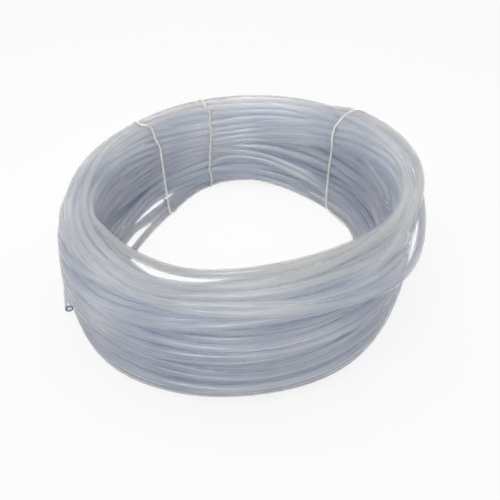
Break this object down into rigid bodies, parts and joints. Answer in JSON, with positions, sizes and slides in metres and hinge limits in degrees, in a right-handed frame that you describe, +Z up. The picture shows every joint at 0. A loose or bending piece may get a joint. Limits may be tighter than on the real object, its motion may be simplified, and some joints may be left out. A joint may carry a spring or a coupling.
{
  "type": "silicone tubing coil",
  "caption": "Soft translucent silicone tubing wound into a tall loose ring and held with string ties, one cut end free at the side.",
  "frame": {"origin": "centre of the ring on the surface that the coil rests on", "axes": "+Z up along the ring's axis, -Y towards the front, where no tie holds the turns"},
  "size_m": [0.2816, 0.2766, 0.095],
  "materials": {
    "tubing": "satin",
    "string": "matte"
  },
  "bodies": {
    "root": {"tubing_coil": "tubing", "tubing_end": "tubing", "tie_left": "string", "tie_middle": "string", "tie_right": "string"}
  },
  "joints": []
}
